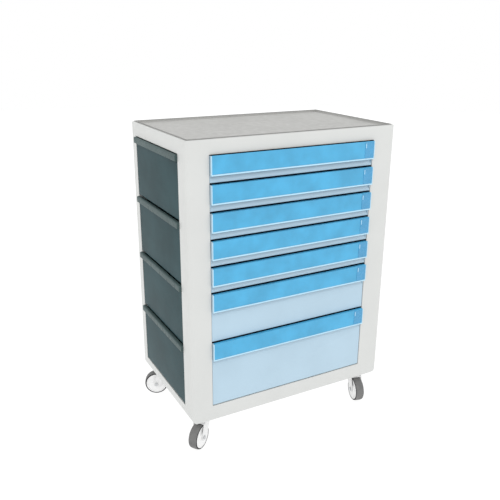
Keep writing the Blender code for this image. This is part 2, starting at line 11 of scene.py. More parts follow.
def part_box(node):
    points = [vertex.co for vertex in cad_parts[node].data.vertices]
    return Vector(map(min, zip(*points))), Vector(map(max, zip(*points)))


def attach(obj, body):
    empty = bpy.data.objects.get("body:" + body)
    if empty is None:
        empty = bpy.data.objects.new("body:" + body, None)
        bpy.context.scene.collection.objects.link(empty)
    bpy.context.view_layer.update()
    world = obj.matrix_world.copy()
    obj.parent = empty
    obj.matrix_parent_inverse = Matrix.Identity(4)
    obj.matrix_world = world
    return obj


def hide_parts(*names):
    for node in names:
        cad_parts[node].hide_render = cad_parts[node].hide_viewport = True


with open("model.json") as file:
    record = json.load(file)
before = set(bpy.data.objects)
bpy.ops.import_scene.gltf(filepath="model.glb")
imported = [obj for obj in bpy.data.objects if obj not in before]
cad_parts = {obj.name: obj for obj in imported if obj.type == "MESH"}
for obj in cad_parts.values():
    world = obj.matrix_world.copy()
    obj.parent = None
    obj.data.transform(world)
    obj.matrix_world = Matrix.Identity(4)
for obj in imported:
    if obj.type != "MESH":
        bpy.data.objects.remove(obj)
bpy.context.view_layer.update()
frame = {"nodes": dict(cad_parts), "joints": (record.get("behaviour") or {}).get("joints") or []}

MM = 0.001
ARC_STEPS = 10
FIT_GAP = 0.3 * MM
OVERSHOOT = 10 * MM  # how far a cutter runs past the face that it opens

# Places read from the frame
top_low, top_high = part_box("top_frame")
base_low, base_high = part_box("base_frame")
worktop_low, worktop_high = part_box("worktop")
LEFT, RIGHT = top_low.x, top_high.x
FRONT, BACK = top_low.y, top_high.y
BOTTOM, TOP = base_low.z, worktop_high.z
SIDE_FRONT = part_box("post_front_left")[1].y
SIDE_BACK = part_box("post_rear_left")[0].y
TOP_FRAME_HIGH = top_high.z
OPENING_LOW, OPENING_HIGH = base_high.z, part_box("right_panel")[1].z + FIT_GAP

# Sizes shared with the frame
CORNER_RADIUS = 10 * MM
RIM_WIDTH = 10.5 * MM
LIP_INSET = 6.5 * MM
LIP_THICKNESS = 1.5 * MM
WORKTOP_DROP = 6.5 * MM
WORKTOP_WALL = 1.5 * MM
DECK_THICKNESS = 4 * MM
BASE_FLOOR = 4 * MM
BASE_EDGE_RADIUS = 6 * MM
BASE_CORNER_RADIUS = 26 * MM
SIDE_NOTCH = 6 * MM
FRAME_WALL_X = 40 * MM
FRAME_WALL_Y = 28 * MM
POST_WALL = 1.5 * MM
FRONT_THICKNESS = 12 * MM
PULL_HEIGHT = 54 * MM
PULL_WALL = 2.5 * MM
GRIP_DEPTH = 8 * MM
SCOOP_HEIGHT = 16 * MM
LABEL_RECESS = 2.2 * MM
TRAY_WALL = 1.2 * MM
FLANGE_REACH = 9 * MM
FLANGE_THICKNESS = 1.5 * MM
BIN_SETBACK = 0.8 * MM
BIN_HOLE_RADIUS = 3.6 * MM
BIN_LIP_REACH = 7.5 * MM
BIN_LIP_HEIGHT = 18 * MM
BIN_LIP_WALL = 2.5 * MM
BIN_WALL = 2.2 * MM
BIN_TOE_RADIUS = 4 * MM
BIN_REAR_HEIGHT = 150 * MM
PIN_LENGTH = 5 * MM
PIN_RADIUS = 3 * MM
WHEEL_RADIUS = 40 * MM
TRAIL = 23 * MM
AXLE_RADIUS = 4 * MM
KINGPIN_RADIUS = 5 * MM
LEG_INSIDE = 16.5 * MM
LEG_OUTSIDE = 19.5 * MM
CROWN_RADIUS = 23 * MM
CROWN_LOW = 85 * MM
CROWN_HIGH = 94.6 * MM
BRIDGE_LOW = 81.5 * MM
NECK_LOW = 95 * MM
KINGPIN_LOW = 82.5 * MM

# Sizes of the finer pieces
LABEL_FRAME = 1.4 * MM  # thickness of the frame at the label's foot and ends
LABEL_CARD = 0.45 * MM
LABEL_FOLD = 0.5 * MM  # how far the label's fold stands above the pull
CLIP_LENGTH = 33 * MM
CLIP_THICKNESS = 1.3 * MM
GAP_SHADOW_REACH = 1 * MM
TOP_GAP_SHADOW_REACH = 8 * MM  # of the painted shadow strip below the top frame
GAP_SHADOW_CLEARANCE = 0.6 * MM
RIM_TOP_HEIGHT = 0.6 * MM
SHOULDER_RADIUS = 3 * MM  # of the top frame's upper edge
HUB_RADIUS = 35 * MM  # a little less than in the frame, which leaves the tyre a wider side
SCREW_INSET = 14 * MM
CAMERA_LENS = 45.067
CAMERA_ANGLES = (-28.5716, 19.2551, 0.3744)  # azimuth, elevation and roll in degrees
CAMERA_OFFSET = Vector((-0.6132, -1.4780, 1.1160))  # from the cabinet's lower front left corner

CORNERS = ("front_left", "front_right", "rear_left", "rear_right")


# Finishes ----------------------------------------------------------------------------------------


def add_node(tree, kind, inputs, **settings):
    made = tree.nodes.new(kind)
    for key, value in settings.items():
        setattr(made, key, value)
    for key, value in inputs.items():
        if isinstance(value, bpy.types.NodeSocket):
            tree.links.new(value, made.inputs[key])
        else:
            made.inputs[key].default_value = value
    return made


def noise(tree, place, scale, detail=3.0, stretch=(1.0, 1.0, 1.0)):
    """Noise from 0 to 1 whose grains are 1/scale metres long, drawn out along axes of low stretch."""
    mapped = add_node(tree, "ShaderNodeMapping", {"Vector": place, "Scale": stretch})
    inputs = {"Vector": mapped.outputs[0], "Scale": scale, "Detail": detail}
    return add_node(tree, "ShaderNodeTexNoise", inputs).outputs[0]


def spread(tree, value, low, high, start=0.35, end=0.65):
    """Takes a noise's middle range, start to end, to low to high."""
    inputs = {"Value": value, "From Min": start, "From Max": end, "To Min": low, "To Max": high}
    return add_node(tree, "ShaderNodeMapRange", inputs, clamp=True).outputs[0]


def blend_colour(tree, factor, first, second):
    made = add_node(tree, "ShaderNodeMix", {0: factor}, data_type="RGBA")
    for socket, value in ((made.inputs[6], first), (made.inputs[7], second)):
        if isinstance(value, bpy.types.NodeSocket):
            tree.links.new(value, socket)
        else:
            socket.default_value = (*value, 1.0)
    return made.outputs[2]


def finish(
    name,
    colour,
    rough,
    mottle=0.04,
    mottle_scale=9.0,
    grain=700.0,
    depth=0.03,
    metal=0.0,
    coat=0.0,
    alpha=1.0,
    stretch=(1.0, 1.0, 1.0),
    scuffs=0.0,
    dust=None,
    shine=0.5,
):
    """A surface with cloudy colour, uneven roughness from rough[0] to rough[1], a fine bump of depth mm,
    and where asked sparse scuffs and dust of its own colour."""
    made = bpy.data.materials.new(name)
    made.use_nodes = True
    tree = made.node_tree
    shader = tree.nodes["Principled BSDF"]
    place = add_node(tree, "ShaderNodeTexCoord", {}).outputs["Object"]
    cloud = noise(tree, place, mottle_scale, 4.0)
    dark = [c * (1 - mottle) for c in colour]
    light = [min(1.0, c * (1 + mottle)) for c in colour]
    base = blend_colour(tree, spread(tree, cloud, 0.0, 1.0), dark, light)
    patches = noise(tree, place, mottle_scale * 6.0, 5.0, stretch)
    roughness = spread(tree, patches, rough[0], rough[1])
    if scuffs:
        streaks = noise(tree, place, 60.0, 6.0, (1.0, 1.0, 0.12))
        marks = spread(tree, streaks, 0.0, scuffs, 0.62, 0.78)
        base = blend_colour(tree, marks, base, [c * 0.75 for c in colour])
        wide = add_node(tree, "ShaderNodeMath", {0: roughness, 1: marks}, operation="ADD")
        roughness = wide.outputs[0]
    if dust:
        powder = spread(tree, noise(tree, place, 45.0, 8.0), 0.0, 0.55, 0.45, 0.75)
        base = blend_colour(tree, powder, base, dust)
    grains = noise(tree, place, grain, 2.0, stretch)
    bump = add_node(tree, "ShaderNodeBump", {"Height": grains, "Strength": 1.0, "Distance": depth * MM})
    tree.links.new(base, shader.inputs["Base Color"])
    tree.links.new(roughness, shader.inputs["Roughness"])
    tree.links.new(bump.outputs[0], shader.inputs["Normal"])
    shader.inputs["Metallic"].default_value = metal
    shader.inputs["Coat Weight"].default_value = coat
    shader.inputs["Coat Roughness"].default_value = 0.08
    shader.inputs["Specular IOR Level"].default_value = shine
    shader.inputs["Alpha"].default_value = alpha
    return made


WHITE = (0.635, 0.645, 0.632)
WHITE_MOULDING = finish("white_moulding", WHITE, (0.38, 0.52), 0.012, grain=900.0, depth=0.03, scuffs=0.03)
WHITE_PAINT = finish("white_paint", WHITE, (0.36, 0.50), 0.012, grain=600.0, depth=0.04, scuffs=0.03)
GREY_TOP = finish(
    "grey_worktop", (0.425, 0.425, 0.41), (0.38, 0.55), 0.03, grain=1100.0, depth=0.05, scuffs=0.06
)
# The worktop's grey with painted shade, for the top of the worktop's rim
SHADED_RIM_GREY = finish("rim_grey_painted_shade", (0.19, 0.19, 0.184), (0.40, 0.55), 0.03, grain=1100.0, depth=0.03)
PALE_BLUE = finish("pale_blue_plastic", (0.44, 0.59, 0.70), (0.34, 0.46), 0.02, grain=900.0, depth=0.02)
# Painted highlight: a lighter, bluer copy of the pale blue plastic for the label's frame and the clip's rib
PAINTED_HIGHLIGHT_BLUE = finish(
    "label_frame_painted_highlight", (0.46, 0.72, 0.88), (0.20, 0.32), 0.02, grain=900.0, depth=0.01, coat=0.4
)
LABEL_BLUE = finish("label_blue", (0.056, 0.375, 0.64), (0.34, 0.48), 0.10, 14.0, 500.0, 0.02, coat=0.3)
CLIP_BLUE = finish("clip_blue", (0.055, 0.31, 0.56), (0.20, 0.32), 0.06, 20.0, 500.0, 0.01, coat=0.4)
SMOKED = finish("smoked", (0.027, 0.064, 0.072), (0.16, 0.26), 0.14, 8.0, 500.0, 0.01, alpha=0.96, shine=0.03)
# Painted light: a lighter copy of the smoked plastic for the bins' lips, as if lit from above
SMOKED_PAINTED_LIGHT_LIP = finish(
    "smoked_painted_light_lip", (0.072, 0.108, 0.108), (0.24, 0.36), 0.08, 8.0, 500.0, 0.01, alpha=0.97, shine=0.08
)
BAY = finish("bay_liner", (0.020, 0.026, 0.029), (0.50, 0.70), 0.15, grain=600.0, depth=0.05)
# Painted shadow: near-black colour for the strips that fill the gaps above the drawer fronts
GAP_SHADOW = finish("painted_gap_shadow", (0.003, 0.006, 0.014), (0.70, 0.85), 0.15, grain=900.0, depth=0.02, shine=0.02)
TRAY = finish("tray_paint", (0.62, 0.64, 0.65), (0.36, 0.50), 0.02, grain=700.0, depth=0.04, scuffs=0.08)
RUNNER = finish("runner_steel", (0.46, 0.47, 0.48), (0.25, 0.50), 0.12, 25.0, 900.0, 0.02, metal=0.9)
ZINC = finish(
    "zinc_plate", (0.58, 0.59, 0.60), (0.22, 0.40), 0.08, 30.0, 1200.0, 0.02, metal=1.0, stretch=(1, 1, 0.1)
)
FORK = finish("fork_paint", (0.80, 0.80, 0.80), (0.30, 0.44), 0.03, 30.0, 900.0, 0.03, scuffs=0.08)
HUB = finish("hub_plastic", (0.84, 0.84, 0.84), (0.34, 0.48), 0.02, 30.0, 1200.0, 0.02)
TREAD = finish(
    "tread_rubber", (0.16, 0.16, 0.16), (0.65, 0.85), 0.10, 40.0, 900.0, 0.10, dust=(0.22, 0.216, 0.21)
)
TYRE_SIDE = finish("tyre_side", (0.03, 0.03, 0.032), (0.60, 0.80), 0.10, 40.0, 900.0, 0.05, shine=0.1)


# Mesh building -----------------------------------------------------------------------------------

TURNS = {
    "X": Matrix(((0, 0, 1), (1, 0, 0), (0, 1, 0))).to_4x4(),
    "Y": Matrix(((1, 0, 0), (0, 0, -1), (0, 1, 0))).to_4x4(),
    "Z": Matrix.Identity(4),
}


def new_object(name, data):
    made = bpy.data.objects.new(name, data)
    bpy.context.scene.collection.objects.link(made)
    return made


def filleted(corners, steps=ARC_STEPS):
    """Outline through corners (x, y, radius), with an arc at each corner that has a radius."""
    points = []
    for i, (x, y, radius) in enumerate(corners):
        here = Vector((x, y))
        if radius <= 0:
            points.append(here)
            continue
        back = (Vector(corners[i - 1][:2]) - here).normalized()
        ahead = (Vector(corners[(i + 1) % len(corners)][:2]) - here).normalized()
        half = back.angle(ahead) / 2
        centre = here + (back + ahead).normalized() * (radius / math.sin(half))
        spoke = here + back * (radius / math.tan(half)) - centre
        swing = math.copysign(math.pi - 2 * half, ahead.cross(back))
        for step in range(steps + 1):
            points.append(centre + Matrix.Rotation(swing * step / steps, 2) @ spoke)
    return points


def rectangle(low_x, high_x, low_y, high_y, radius=0.0):
    corners = ((low_x, low_y), (high_x, low_y), (high_x, high_y), (low_x, high_y))
    return filleted([(x, y, radius) for x, y in corners])


def hexagon(radius):
    turns = [math.radians(60 * corner) for corner in range(6)]
    return [(radius * math.cos(turn), radius * math.sin(turn)) for turn in turns]


def prism(name, outline, low, high, axis="Z"):
    """An outline made solid from low to high. On axis X it is drawn in Y and Z, and on Y in X and -Y."""
    shape = bmesh.new()
    face = shape.faces.new([shape.verts.new((x, y, low)) for x, y in outline])
    grown = bmesh.ops.extrude_face_region(shape, geom=[face])["geom"]
    moved = [item for item in grown if isinstance(item, bmesh.types.BMVert)]
    bmesh.ops.translate(shape, vec=(0, 0, high - low), verts=moved)
    bmesh.ops.recalc_face_normals(shape, faces=shape.faces)
    shape.transform(TURNS[axis])
    mesh = bpy.data.meshes.new(name)
    shape.to_mesh(mesh)
    shape.free()
    return new_object(name, mesh)


def block(name, low, high):
    return prism(name, rectangle(low[0], high[0], low[1], high[1]), low[2], high[2])


def across(name, outline, low, high):
    """An outline drawn in X and Z, made solid from low to high along Y."""
    return prism(name, outline, -high, -low, "Y")


def turned(name, profile, closed=False, steps=48, axis="Z"):
    """A profile of (radius, height) points, top to bottom, turned about an axis."""
    mesh = bpy.data.meshes.new(name)
    edges = [(i, i + 1) for i in range(len(profile) - 1)]
    if closed:
        edges.append((len(profile) - 1, 0))
    mesh.from_pydata([(radius, 0.0, height) for radius, height in profile], edges, [])
    made = new_object(name, mesh)
    screw = made.modifiers.new("turn", "SCREW")
    screw.steps = steps
    screw.render_steps = steps
    screw.use_merge_vertices = True
    screw.merge_threshold = 0.00001
    apply_modifiers(made)
    made.data.transform(TURNS[axis])
    return made


def rod(name, radius, low, high, axis="Z"):
    """A plain round rod from low to high along an axis."""
    return turned(name, [(0, high), (radius, high), (radius, low), (0, low)], steps=24, axis=axis)


def round_end(thing, radius, steps=6, upper=False):
    """Rounds the outer edges of a prism's lower or upper face."""
    shape = bmesh.new()
    shape.from_mesh(thing.data)
    pick = max if upper else min
    end = pick(shape.faces, key=lambda face: face.calc_center_median().z)
    bmesh.ops.bevel(shape, geom=end.edges[:], offset=radius, segments=steps, profile=0.5, affect="EDGES")
    shape.to_mesh(thing.data)
    shape.free()


def flatten(thing, angle=0.3):
    """Merges faces that lie in one plane."""
    shape = bmesh.new()
    shape.from_mesh(thing.data)
    bmesh.ops.remove_doubles(shape, verts=shape.verts, dist=0.00001)
    bmesh.ops.dissolve_limit(shape, angle_limit=math.radians(angle), verts=shape.verts, edges=shape.edges)
    shape.to_mesh(thing.data)
    shape.free()


def apply_modifiers(thing):
    bpy.context.view_layer.update()
    evaluated = thing.evaluated_get(bpy.context.evaluated_depsgraph_get())
    mesh = bpy.data.meshes.new_from_object(evaluated)
    old = thing.data
    thing.modifiers.clear()
    thing.data = mesh
    bpy.data.meshes.remove(old)
    mesh.name = thing.name


def combine(thing, operands, operation):
    """Cuts or joins solids and removes them."""
    for operand in operands:
        step = thing.modifiers.new("combine", "BOOLEAN")
        step.operation = operation
        step.solver = "EXACT"
        step.object = operand
    apply_modifiers(thing)
    for operand in operands:
        bpy.data.objects.remove(operand)


def cut(thing, *cutters):
    combine(thing, cutters, "DIFFERENCE")


def join(thing, *pieces):
    combine(thing, pieces, "UNION")


def soften(thing, width, segments=3, angle=32):
    """Rounds the edges that are still sharp, and shades the faces smooth between them."""
    for face in thing.data.polygons:
        face.use_smooth = True
    bevel = thing.modifiers.new("edges", "BEVEL")
    bevel.width = width
    bevel.segments = segments
    bevel.limit_method = "ANGLE"
    bevel.angle_limit = math.radians(angle)
    bevel.harden_normals = True
    return thing


def show(thing, body, slot, material, *nodes):
    """Makes a piece part of a body, in place of the CAD nodes that it stands for."""
    thing.data.materials.clear()
    thing.data.materials.append(material)
    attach(thing, body)
    if nodes:
        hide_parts(*nodes)
    return thing


def repaint(node, material, edge=0.0):
    """Gives a CAD node that keeps its shape a finish, and small rounded edges."""
    thing = frame["nodes"][node]
    thing.data.materials.clear()
    thing.data.materials.append(material)
    if edge:
        soften(thing, edge, 2)


# The carcass -------------------------------------------------------------------------------------


def inset_outline(inset):
    """The carcass's outline seen from above, drawn in by inset."""
    return rectangle(LEFT + inset, RIGHT - inset, FRONT + inset, BACK - inset, CORNER_RADIUS - inset)


def hinge_hole(place):
    hole = rod("hole", BIN_HOLE_RADIUS, -4 * MM, 4 * MM, "Y")
    hole.data.transform(Matrix.Translation(place))
    return hole


def post_hollow(corner):
    """The space inside a corner post, and in the left posts the holes for the bins' hinge pins."""
    low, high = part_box(f"post_{corner}")
    side = 1 if "left" in corner else -1
    end = 1 if "front" in corner else -1
    x = (low.x + POST_WALL, high.x - POST_WALL)[::side]
    y = (low.y + POST_WALL, high.y - POST_WALL)[::end]
    outline = [
        (x[0], y[0], CORNER_RADIUS - POST_WALL),
        (x[1], y[0], 0),
        (x[1], y[1], 0),
        (x[0], y[1], 0),
    ]
    spaces = [prism("hollow", filleted(outline), OPENING_LOW, OPENING_HIGH)]
    if side > 0:
        pivots = [joint["pos_m"] for joint in frame["joints"] if joint["name"].startswith("bin_")]
        inner_y = SIDE_FRONT if end > 0 else SIDE_BACK
        spaces += [hinge_hole((x, inner_y, z)) for x, _, z in pivots]
    return spaces


def make_carcass():
    """The white moulding: a base pan, a top frame and four posts, in one piece without seams."""
    carcass = prism("carcass_moulding", inset_outline(0), BOTTOM, TOP_FRAME_HIGH)
    round_end(carcass, BASE_EDGE_RADIUS)
    round_end(carcass, SHOULDER_RADIUS, upper=True)
    front_view = [
        (LEFT, BOTTOM, BASE_CORNER_RADIUS),
        (RIGHT, BOTTOM, BASE_CORNER_RADIUS),
        (RIGHT, TOP + OVERSHOOT, 0),
        (LEFT, TOP + OVERSHOOT, 0),
    ]
    limits = across("limits", filleted(front_view), FRONT - OVERSHOOT, BACK + OVERSHOOT)
    combine(carcass, [limits], "INTERSECT")
    left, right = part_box("post_front_left")[1].x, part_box("post_front_right")[0].x
    outside_left = LEFT - OVERSHOOT
    cut(
        carcass,
        block("length", (left, FRONT - OVERSHOOT, OPENING_LOW), (right, BACK + OVERSHOOT, OPENING_HIGH)),
        block("width", (outside_left, SIDE_FRONT, OPENING_LOW), (RIGHT + OVERSHOOT, SIDE_BACK, OPENING_HIGH)),
        *(space for corner in CORNERS for space in post_hollow(corner)),
    )
    inner = rectangle(
        LEFT + FRAME_WALL_X, RIGHT - FRAME_WALL_X, FRONT + FRAME_WALL_Y, BACK - FRAME_WALL_Y, 8 * MM
    )
    seat = worktop_low.z - FIT_GAP
    notch_low = (outside_left, SIDE_FRONT, OPENING_LOW - SIDE_NOTCH)
    notch_high = (LEFT + FRAME_WALL_X + OVERSHOOT, SIDE_BACK, OPENING_LOW + OVERSHOOT)
    cut(
        carcass,
        prism("pan", inner, BOTTOM + BASE_FLOOR, OPENING_LOW + 1 * MM),
        prism("seat", inset_outline(RIM_WIDTH), seat, TOP + OVERSHOOT),
        prism("underside", inner, OPENING_HIGH - 1 * MM, seat - DECK_THICKNESS),
        block("notch", notch_low, notch_high),
    )
    flatten(carcass)
    nodes = ["base_frame", "top_frame"] + [f"post_{corner}" for corner in CORNERS]
    show(soften(carcass, 0.9 * MM, 3), "cabinet", "white_moulding", WHITE_MOULDING, *nodes)


def make_worktop():
    """Shallow grey tray; the top of its lip is a darker strip, the worktop grey with painted shade."""
    lip_low = TOP - LIP_THICKNESS
    pan_edge = RIM_WIDTH + FIT_GAP
    inner_edge = pan_edge + WORKTOP_WALL
    worktop = prism("worktop_tray", inset_outline(LIP_INSET), lip_low, TOP - RIM_TOP_HEIGHT)
    join(worktop, prism("pan", inset_outline(pan_edge), worktop_low.z, lip_low + 0.5 * MM))
    inside = prism("inside", inset_outline(inner_edge), TOP - WORKTOP_DROP, TOP + OVERSHOOT)
    round_end(inside, 1.5 * MM, 4)
    cut(worktop, inside)
    show(soften(worktop, 0.4 * MM, 2), "cabinet", "grey_worktop", GREY_TOP, "worktop")
    # The lip's top: worktop grey darkened by painted shade
    rim_top = prism("worktop_rim_top", inset_outline(LIP_INSET), TOP - RIM_TOP_HEIGHT, TOP)
    cut(rim_top, prism("inside", inset_outline(inner_edge + 0.2 * MM), TOP - OVERSHOOT, TOP + OVERSHOOT))
    show(soften(rim_top, 0.25 * MM, 2), "cabinet", "grey_worktop", SHADED_RIM_GREY)


def make_screws(name, places, axis, lift):
    """Dome-headed cross-recess screws along one axis, joined in one piece."""
    head = [(0, 1.5), (1.2, 1.45), (2.4, 1.1), (3.3, 0.45), (3.6, 0.0), (3.6, -0.3), (0, -0.3)]
    made = None
    for place in places:
        screw = turned("screw", [(r * MM, z * MM) for r, z in head], steps=20)
        slots = [
            block("slot", (-1.9 * MM, -0.35 * MM, 0.7 * MM), (1.9 * MM, 0.35 * MM, 3 * MM)),
            block("slot", (-0.35 * MM, -1.9 * MM, 0.7 * MM), (0.35 * MM, 1.9 * MM, 3 * MM)),
        ]
        cut(screw, *slots)
        for face in screw.data.polygons:
            face.use_smooth = True
        screw.data.set_sharp_from_angle(angle=math.radians(35))
        screw.data.transform(Matrix.Translation(place) @ TURNS[axis] @ Matrix.Scale(lift, 4, (0, 0, 1)))
        if lift < 0:
            screw.data.flip_normals()
        if made is None:
            made = screw
            made.name = name
        else:
            shape = bmesh.new()
            shape.from_mesh(made.data)
            shape.from_mesh(screw.data)
            shape.to_mesh(made.data)
            shape.free()
            bpy.data.objects.remove(screw)
    return made


def make_panels():
    """Right and rear panels, each held by two columns of screws."""
    repaint("right_panel", WHITE_PAINT, 0.4 * MM)
    repaint("back_panel", WHITE_PAINT, 0.4 * MM)
    low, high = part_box("right_panel")
    heights = [low.z + (high.z - low.z) * share for share in (0.03, 0.35, 0.65, 0.97)]
    places = [(high.x, y, z) for y in (low.y + SCREW_INSET, high.y - SCREW_INSET) for z in heights]
    side = make_screws("right_panel_screws", places, "X", 1)
    show(side, "cabinet", "zinc_plate", ZINC)
    low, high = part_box("back_panel")
    places = [(x, high.y, z) for x in (low.x + SCREW_INSET, high.x - SCREW_INSET) for z in heights]
    rear = make_screws("back_panel_screws", places, "Y", -1)
    show(rear, "cabinet", "zinc_plate", ZINC)


# Drawers -----------------------------------------------------------------------------------------


def make_drawer_front(number):
    """Moulded front: panel and full-width pull, hollowed behind the pull for the fingers."""
    low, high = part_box(f"drawer_front_{number}")
    panel = high.y - FRONT_THICKNESS
    under = high.z - PULL_HEIGHT
    face = low.y + LABEL_FRAME
    profile = [
        (panel, low.z, 1.5 * MM),
        (panel, under - SCOOP_HEIGHT, 0),
        (panel, under, 0),
        (face, under, 0.6 * MM),
        (face, high.z, 1.0 * MM),
        (high.y, high.z, 1.0 * MM),
        (high.y, low.z, 1.0 * MM),
    ]
    front = prism(f"drawer_face_{number}", filleted(profile, 5), low.x, high.x, "X")
    skin = low.y + LABEL_RECESS + PULL_WALL
    run_out = SCOOP_HEIGHT * (1 + 0.5 * MM / GRIP_DEPTH)
    pocket = [
        (skin, under - run_out, 0),
        (skin, high.z - PULL_WALL, 2 * MM),
        (panel + GRIP_DEPTH, high.z - PULL_WALL, 4 * MM),
        (panel + GRIP_DEPTH, under, 9 * MM),
        (panel - 0.5 * MM, under - run_out, 0),
    ]
    cut(front, prism("pocket", filleted(pocket, 6), low.x + PULL_WALL, high.x - PULL_WALL, "X"))
    body = f"drawer_{number}"
    show(soften(front, 0.7 * MM, 2), body, "pale_blue_plastic", PALE_BLUE, f"drawer_front_{number}")
    label_low, label_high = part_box(f"label_strip_{number}")
    left, right = label_low.x - FIT_GAP, label_high.x + FIT_GAP
    sill = label_low.z - FIT_GAP
    outline = [
        (low.x, high.z, 0.8 * MM),
        (low.x, under, 0.8 * MM),
        (high.x, under, 0.8 * MM),
        (high.x, high.z, 0.8 * MM),
        (right, high.z, 0.3 * MM),
        (right, sill, 1.2 * MM),
        (left, sill, 1.2 * MM),
        (left, high.z, 0.3 * MM),
    ]
    # The label's frame is pale blue plastic drawn lighter, a painted highlight along its sill and top
    rim = across(f"label_frame_painted_highlight_{number}", filleted(outline, 4), low.y, face)
    show(soften(rim, 0.4 * MM, 3), body, "pale_blue_plastic", PAINTED_HIGHLIGHT_BLUE)


def gap_shadow_reach(number):
    """How far a drawer's dark strip, painted shadow of the gap above it, stands out over the top of its pull.
    """
    return TOP_GAP_SHADOW_REACH if number == 1 else GAP_SHADOW_REACH


def make_label(number):
    """Blue strip folded over the top of the pull, and over its right end a clip with a short rib and a
    notch to lift it by. The rib is painted in a highlight colour."""
    low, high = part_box(f"label_strip_{number}")
    face = low.y + 0.3 * MM
    body = f"drawer_{number}"
    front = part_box(f"drawer_front_{number}")[1]
    fold = front.z + LABEL_FOLD
    back = front.y - FRONT_THICKNESS - gap_shadow_reach(number) - 0.2 * MM
    outline = [
        (face, low.z, 0),
        (face, fold, LABEL_FOLD),
        (back, fold, 0),
        (back, front.z + 0.05 * MM, 0),
        (face + LABEL_CARD, front.z + 0.05 * MM, 0),
        (face + LABEL_CARD, low.z, 0),
    ]
    card = prism(f"label_card_{number}", filleted(outline, 4), low.x, high.x, "X")
    show(soften(card, 0.1 * MM, 2), body, "label_blue_plastic", LABEL_BLUE, f"label_strip_{number}")
    left = high.x - CLIP_LENGTH
    outline = rectangle(left, high.x - 0.5 * MM, low.z + 0.5 * MM, high.z - 0.5 * MM, 2 * MM)
    clip = across(f"label_clip_{number}", outline, face - CLIP_THICKNESS + 0.4 * MM, face - 0.1 * MM)
    notch = rectangle(high.x - 24 * MM, high.x - 4 * MM, low.z + 5 * MM, low.z + 10 * MM, 2 * MM)
    cut(clip, across("notch", notch, low.y - OVERSHOOT, face - 0.35 * MM))
    show(soften(clip, 0.3 * MM, 2), body, "label_blue_plastic", CLIP_BLUE)
    # The rib is painted in the highlight colour, standing for a short glint at the clip's left end
    rib_left = left + 2.5 * MM
    rib_outline = rectangle(rib_left, rib_left + 2.2 * MM, high.z - 18 * MM, high.z - 4 * MM, 1 * MM)
    rib = across(f"label_rib_painted_highlight_{number}", rib_outline, face - CLIP_THICKNESS, face - CLIP_THICKNESS + 0.5 * MM)
    show(soften(rib, 0.2 * MM, 2), body, "pale_blue_plastic", PAINTED_HIGHLIGHT_BLUE)


def make_gap_shadow(number):
    """Black strip along the top edge of the front, in the gap below the next front or the frame: painted
    shadow of that gap.
    """
    low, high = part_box(f"drawer_front_{number}")
    above = OPENING_HIGH if number == 1 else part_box(f"drawer_front_{number - 1}")[0].z
    front = high.y - FRONT_THICKNESS - gap_shadow_reach(number)
    top = above - GAP_SHADOW_CLEARANCE
    outline = [
        (front, high.z, 0),
        (front, top, 0.5 * MM),
        (high.y, top, 0.5 * MM),
        (high.y, high.z, 0),
    ]
    shadow_strip = prism(f"drawer_gap_shadow_{number}", filleted(outline, 3), low.x + 1 * MM, high.x - 1 * MM, "X")
    show(soften(shadow_strip, 0.15 * MM, 2), f"drawer_{number}", "tread_rubber", GAP_SHADOW)


def make_tray(number):
    """Open tray with rounded corners and a flange along each side."""
    low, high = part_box(f"drawer_tray_{number}")
    left = low.x + FLANGE_REACH
    right = high.x - FLANGE_REACH
    tray = prism(f"drawer_box_{number}", rectangle(left, right, low.y, high.y, 7 * MM), low.z, high.z)
    round_end(tray, 5 * MM, 4)
    wall = TRAY_WALL
    inner = rectangle(left + wall, right - wall, low.y + wall, high.y - wall, 5.8 * MM)
    inside = prism("inside", inner, low.z + wall, high.z + OVERSHOOT)
    round_end(inside, 3.8 * MM, 4)
    cut(tray, inside)
    flange_top = high.z - 0.5 * MM
    flange_low = flange_top - FLANGE_THICKNESS
    near, far = low.y + 4 * MM, high.y - 4 * MM
    join(
        tray,
        block("flange", (low.x, near, flange_low), (left + wall / 2, far, flange_top)),
        block("flange", (right - wall / 2, near, flange_low), (high.x, far, flange_top)),
    )
    show(soften(tray, 0.35 * MM, 2), f"drawer_{number}", "tray_paint", TRAY, f"drawer_tray_{number}")


def make_drawers():
    for number in range(1, 8):
        make_drawer_front(number)
        make_label(number)
        make_gap_shadow(number)
        make_tray(number)
    repaint("left_runner_wall", RUNNER)
    repaint("right_runner_wall", RUNNER)


# Tilt-out bins -----------------------------------------------------------------------------------


